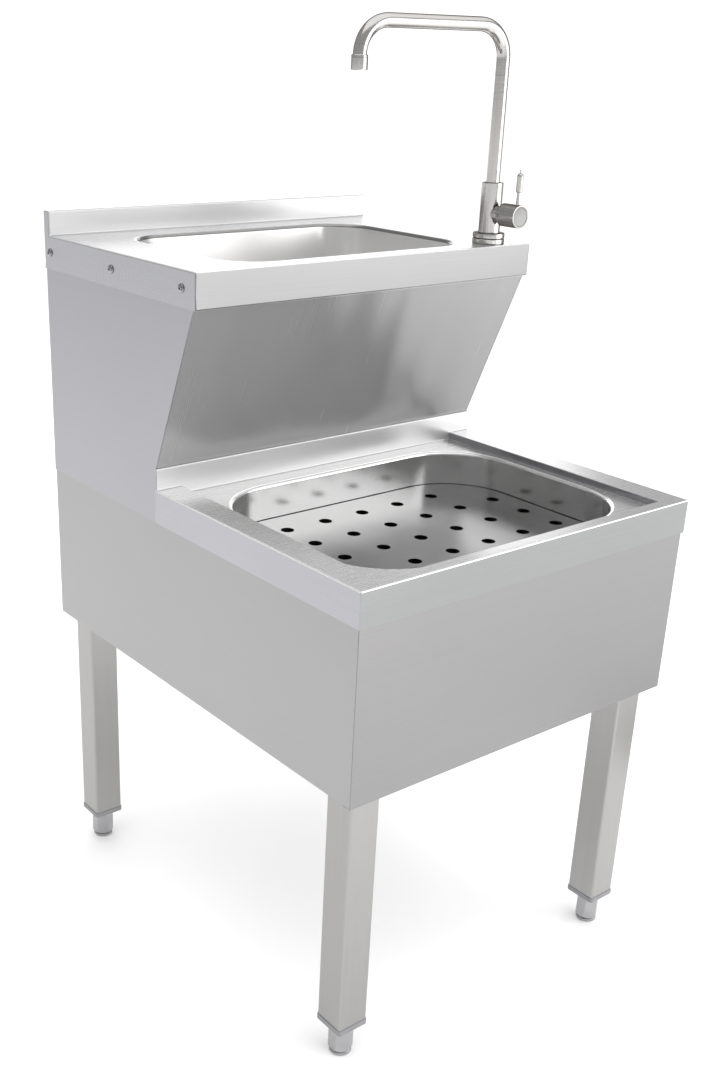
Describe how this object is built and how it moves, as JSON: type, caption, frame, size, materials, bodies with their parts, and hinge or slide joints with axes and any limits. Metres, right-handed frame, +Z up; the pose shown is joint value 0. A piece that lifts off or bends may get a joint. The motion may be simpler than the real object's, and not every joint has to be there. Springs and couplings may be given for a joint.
{
  "type": "handwash sink",
  "caption": "Free-standing stainless handwash basin with a swivel tap above a front slop sink with a lift-out strainer plate, on square legs with screw feet.",
  "frame": {"origin": "on the floor, in the middle of the bounding box", "axes": "+X to the right as seen by a person who stands in front, +Y to the back, +Z up; the front faces -Y"},
  "size_m": [0.5052, 0.615, 1.106],
  "materials": {
    "top_steel": "brushed, fine lines left to right",
    "bowl_steel": "satin, half polished",
    "plate_steel": "satin",
    "panel_steel": "brushed, matt",
    "slope_steel": "brushed, with soft vertical reflections",
    "frame_steel": "mill finish",
    "leg_steel": "satin",
    "screw_steel": "bright",
    "foot_metal": "satin cast",
    "plug_plastic": "moulded grey",
    "tap_steel": "satin, turned",
    "disc_steel": "concentric brushing",
    "waste_steel": "polished",
    "waste_plastic": "moulded white",
    "rubber_seal": "matt black",
    "brass_nut": "machined",
    "cartridge_body": "moulded ivory",
    "aerator_grid": "moulded"
  },
  "bodies": {
    "stand": {"upper_top": "top_steel", "hand_basin": "bowl_steel", "slop_top": "top_steel", "slop_bowl": "bowl_steel", "plate_lugs": "frame_steel", "skirt_front": "panel_steel", "skirt_left": "panel_steel", "skirt_right": "panel_steel", "side_panel_left": "panel_steel", "side_panel_right": "panel_steel", "slope_panel": "slope_steel", "rear_rail_upper": "frame_steel", "rear_rail_lower": "frame_steel", "apron_screws": "screw_steel", "apron_nuts": "screw_steel", "leg_brackets": "frame_steel", "leg_front_left": "leg_steel", "leg_front_right": "leg_steel", "leg_rear_left": "leg_steel", "leg_rear_right": "leg_steel", "plug_front_left": "plug_plastic", "plug_front_right": "plug_plastic", "plug_rear_left": "plug_plastic", "plug_rear_right": "plug_plastic", "hand_waste_flange": "waste_steel", "hand_waste_gasket": "rubber_seal", "hand_waste_nut": "waste_plastic", "hand_tailpiece": "waste_plastic", "slop_waste_flange": "waste_steel", "slop_waste_gasket": "rubber_seal", "slop_waste_nut": "waste_plastic", "slop_tailpiece": "waste_plastic", "tap_ring": "tap_steel", "tap_seal": "rubber_seal", "tap_body": "tap_steel", "tap_washer": "screw_steel", "tap_locknut": "brass_nut", "cartridge": "cartridge_body", "cartridge_ring": "brass_nut"},
    "spout": {"spout": "tap_steel", "spout_stub": "tap_steel", "spout_o_rings": "rubber_seal", "aerator_collar": "tap_steel", "aerator_insert": "aerator_grid"},
    "valve_stem": {"spindle": "screw_steel", "cross_pin": "screw_steel"},
    "handle": {"handle_cap": "tap_steel", "handle_disc": "disc_steel", "lever_rod": "tap_steel", "lever_grip": "tap_steel"},
    "plate": {"strainer_plate": "plate_steel"},
    "foot_front_left": {"foot_front_left": "foot_metal"},
    "foot_front_right": {"foot_front_right": "foot_metal"},
    "foot_rear_left": {"foot_rear_left": "foot_metal"},
    "foot_rear_right": {"foot_rear_right": "foot_metal"}
  },
  "joints": [
    {"name": "spout_swivel", "type": "hinge", "parent": "stand", "child": "spout", "pos_m": [0.201, -0.0005, 0.922], "axis": [0, 0, 1], "continuous": true},
    {"name": "handle_turn", "type": "hinge", "parent": "stand", "child": "valve_stem", "pos_m": [0.201, -0.0005, 0.886], "axis": [0, -1, 0], "range_deg": [-45, 45]},
    {"name": "lever_tilt", "type": "hinge", "parent": "valve_stem", "child": "handle", "pos_m": [0.201, -0.026, 0.886], "axis": [1, 0, 0], "range_deg": [0, 18]},
    {"name": "plate_lift", "type": "slide", "parent": "stand", "child": "plate", "axis": [0, 0, 1], "range_m": [0, 0.12]},
    {"name": "foot_front_left_screw", "type": "slide", "parent": "stand", "child": "foot_front_left", "axis": [0, 0, -1], "range_m": [0, 0.025]},
    {"name": "foot_front_right_screw", "type": "slide", "parent": "stand", "child": "foot_front_right", "axis": [0, 0, -1], "range_m": [0, 0.025]},
    {"name": "foot_rear_left_screw", "type": "slide", "parent": "stand", "child": "foot_rear_left", "axis": [0, 0, -1], "range_m": [0, 0.025]},
    {"name": "foot_rear_right_screw", "type": "slide", "parent": "stand", "child": "foot_rear_right", "axis": [0, 0, -1], "range_m": [0, 0.025]}
  ]
}
